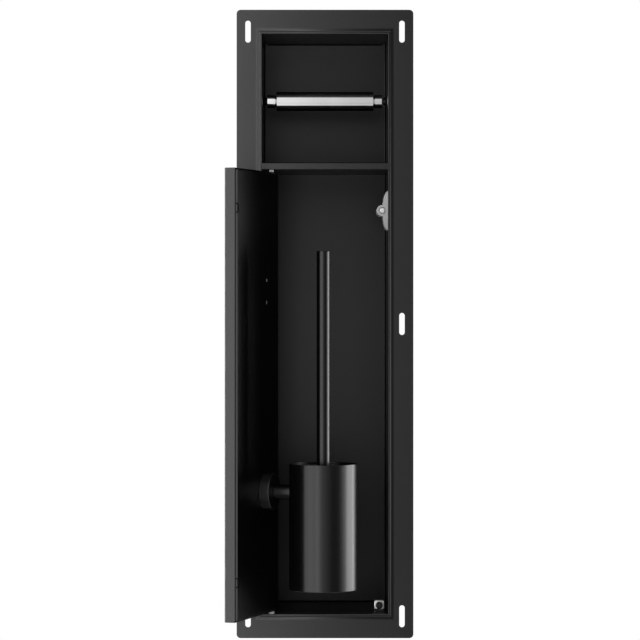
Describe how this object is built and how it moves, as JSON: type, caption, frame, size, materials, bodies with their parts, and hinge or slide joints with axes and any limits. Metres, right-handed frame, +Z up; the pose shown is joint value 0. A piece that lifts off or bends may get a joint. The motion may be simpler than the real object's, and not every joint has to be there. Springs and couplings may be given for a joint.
{
  "type": "recessed toilet paper holder",
  "caption": "Tall recessed bathroom niche with a roll spindle above and a hinged door below that carries a toilet brush holder on its inside.",
  "frame": {"origin": "centre of the mounting flange, on the wall plane, which is the flange's back face", "axes": "+Y into the wall, +Z up, +X to the right seen from the room"},
  "size_m": [0.2357, 0.2963, 0.8],
  "materials": {
    "powder_black": "fine satin powder coat, black",
    "spindle_chrome": "polished",
    "latch_grey": "moulded, light grey",
    "tip_white": "moulded, off-white",
    "nylon_white": "moulded nylon, white",
    "zinc": "zinc plated",
    "screw_black": "black oxide",
    "magnet_dark": "nickel-dark magnet",
    "liner_plastic": "moulded, dark grey",
    "bristle_black": "nylon bristles, black",
    "spring_steel": "bright wire"
  },
  "bodies": {
    "housing": {"front_frame": "powder_black", "opening_rim": "powder_black", "housing_wrap": "powder_black", "top_cap": "powder_black", "bottom_cap": "powder_black", "divider_shelf": "powder_black", "spindle_seat_left": "powder_black", "spindle_seat_right": "powder_black", "latch_housing": "latch_grey", "latch_screws": "zinc", "latch_spring": "spring_steel", "catch_bracket": "powder_black", "catch_block": "nylon_white", "catch_magnet": "magnet_dark", "catch_screw": "screw_black", "bracket_screw": "screw_black", "pivot_pin_top": "zinc", "pivot_pin_bottom": "zinc"},
    "door": {"door_shell": "powder_black", "door_inner_panel": "powder_black", "pivot_block_top": "zinc", "pivot_block_bottom": "zinc", "pivot_bush_top": "nylon_white", "pivot_bush_bottom": "nylon_white", "rosette_base": "zinc", "rosette_screws": "zinc", "rosette_nuts": "zinc", "rosette_cover": "powder_black", "holder_post": "powder_black", "post_stud": "zinc", "cup_screw": "zinc", "brush_cup": "powder_black"},
    "liner": {"cup_liner": "liner_plastic"},
    "brush": {"brush_rod": "powder_black", "rod_cap": "powder_black", "rod_adapter": "liner_plastic", "brush_core": "liner_plastic", "brush_bristles": "bristle_black"},
    "spindle": {"spindle_barrel": "spindle_chrome", "spindle_end_left": "spindle_chrome", "spindle_guide_ring": "spindle_chrome", "spindle_spring": "spring_steel"},
    "spindle_tip": {"spindle_end_right": "spindle_chrome"},
    "latch_pin": {"latch_plunger": "latch_grey", "latch_tip": "tip_white"}
  },
  "joints": [
    {"name": "door_hinge", "type": "hinge", "parent": "housing", "child": "door", "pos_m": [-0.0681, -0.0008, 0], "axis": [0, 0, -1], "range_deg": [-108.2, 0]},
    {"name": "liner_lift", "type": "slide", "parent": "door", "child": "liner", "axis": [0, 0, 1], "range_m": [0, 0.155]},
    {"name": "brush_lift", "type": "slide", "parent": "liner", "child": "brush", "axis": [0, 0, 1], "range_m": [0, 0.165]},
    {"name": "spindle_turn", "type": "hinge", "parent": "housing", "child": "spindle", "pos_m": [0, 0.072, 0.288], "axis": [1, 0, 0], "continuous": true},
    {"name": "spindle_press", "type": "slide", "parent": "spindle", "child": "spindle_tip", "axis": [-1, 0, 0], "range_m": [0, 0.006], "stiffness_N_per_m": 900, "springref_m": -0.004, "deforming": ["spindle_spring"]},
    {"name": "latch_travel", "type": "slide", "parent": "housing", "child": "latch_pin", "axis": [0, -1, 0], "range_m": [0, 0.025], "deforming": ["latch_spring"]}
  ]
}
